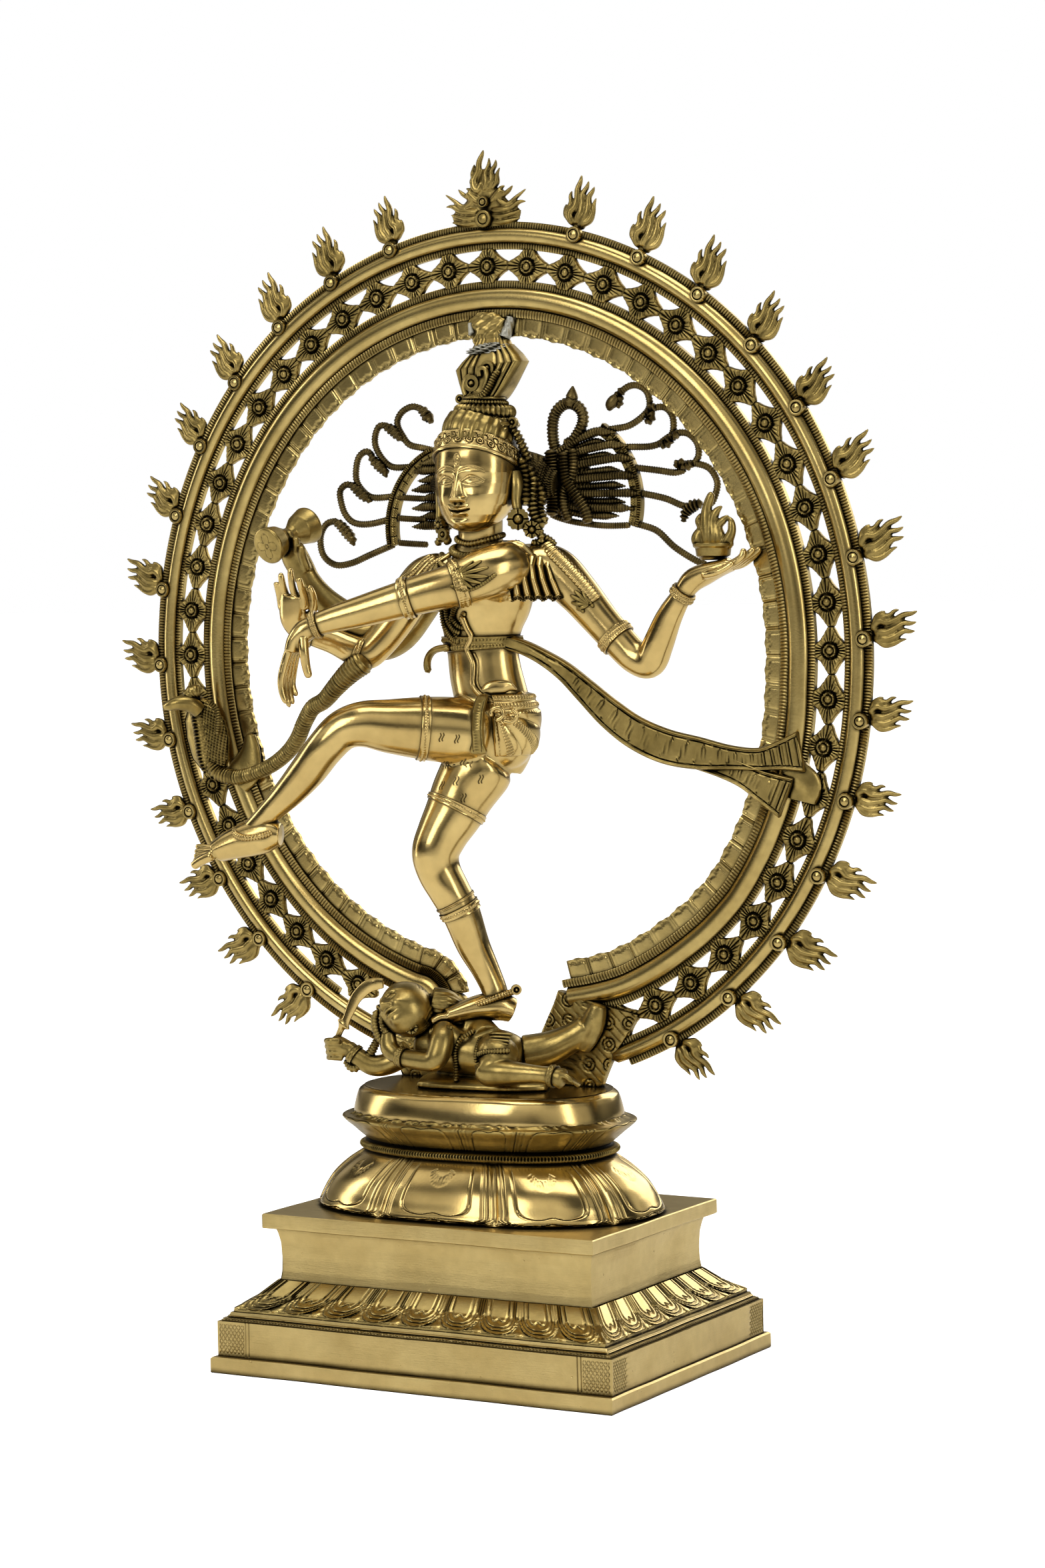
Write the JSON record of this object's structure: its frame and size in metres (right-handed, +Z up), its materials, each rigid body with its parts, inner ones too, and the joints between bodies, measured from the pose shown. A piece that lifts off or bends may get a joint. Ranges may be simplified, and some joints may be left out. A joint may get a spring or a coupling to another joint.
{
  "type": "dancing figure statue",
  "caption": "Cast brass temple statue: a four-armed dancer inside a ring of flames, standing on a small lying figure, a lotus pedestal and a stepped plinth.",
  "frame": {"origin": "centre of the bounding box at the underside of the plinth", "axes": "+X to the viewer's right when facing the figure, +Y to the back, +Z up"},
  "size_m": [0.6738, 0.2564, 0.914],
  "materials": {
    "plinth_brass": "brushed satin cast brass",
    "lotus_brass": "polished cast brass",
    "arch_brass": "satin cast brass",
    "patinated_brass": "brass with dark patina in the relief",
    "figure_brass": "highly polished cast brass",
    "hair_brass": "dark patinated cast brass",
    "solder": "grey silver solder",
    "fixing_brass": "turned brass"
  },
  "bodies": {
    "root": {"plinth_slab": "plinth_brass", "plinth_dado": "plinth_brass", "plinth_bead_step": "patinated_brass", "plinth_petal_moulding": "plinth_brass", "plinth_die": "plinth_brass", "plinth_top_plate": "plinth_brass", "lotus_bell": "lotus_brass", "lotus_bead_ring": "patinated_brass", "lotus_upper_petals": "patinated_brass", "lotus_drum": "lotus_brass", "fixing_studs": "fixing_brass", "stud_washers": "fixing_brass", "stud_nuts": "fixing_brass", "arch_outer_hoop": "arch_brass", "arch_inner_hoop": "arch_brass", "arch_scalloped_band": "arch_brass", "arch_rosettes": "patinated_brass", "arch_flames": "patinated_brass", "flame_rivets": "arch_brass", "arch_crest": "patinated_brass", "arch_foot_right": "patinated_brass", "arch_foot_left": "patinated_brass", "figure_torso": "figure_brass", "head": "figure_brass", "diadem": "figure_brass", "crown": "patinated_brass", "solder_joint": "solder", "rear_left_arm": "figure_brass", "front_left_arm": "figure_brass", "front_right_arm": "figure_brass", "rear_right_arm": "patinated_brass", "raised_leg": "figure_brass", "standing_leg": "figure_brass", "waist_belt": "figure_brass", "arm_bands": "figure_brass", "leg_bands": "figure_brass", "anklets": "figure_brass", "hip_cloth": "figure_brass", "front_tassel": "patinated_brass", "shawl": "figure_brass", "earrings": "figure_brass", "belly_band": "figure_brass", "hair_roll": "hair_brass", "hair_fan": "hair_brass", "hair_arc_right": "hair_brass", "hair_arc_left": "hair_brass", "hair_locks_right": "hair_brass", "hair_locks_left": "hair_brass", "hair_loop": "hair_brass", "drum": "patinated_brass", "fire_bowl": "patinated_brass", "bowl_flame": "figure_brass", "cobra": "patinated_brass", "sash": "patinated_brass", "dwarf_body": "patinated_brass", "dwarf_head": "patinated_brass", "dwarf_arms": "patinated_brass", "dwarf_legs": "patinated_brass", "dwarf_sword": "figure_brass", "foot_tenon": "fixing_brass"}
  },
  "joints": []
}
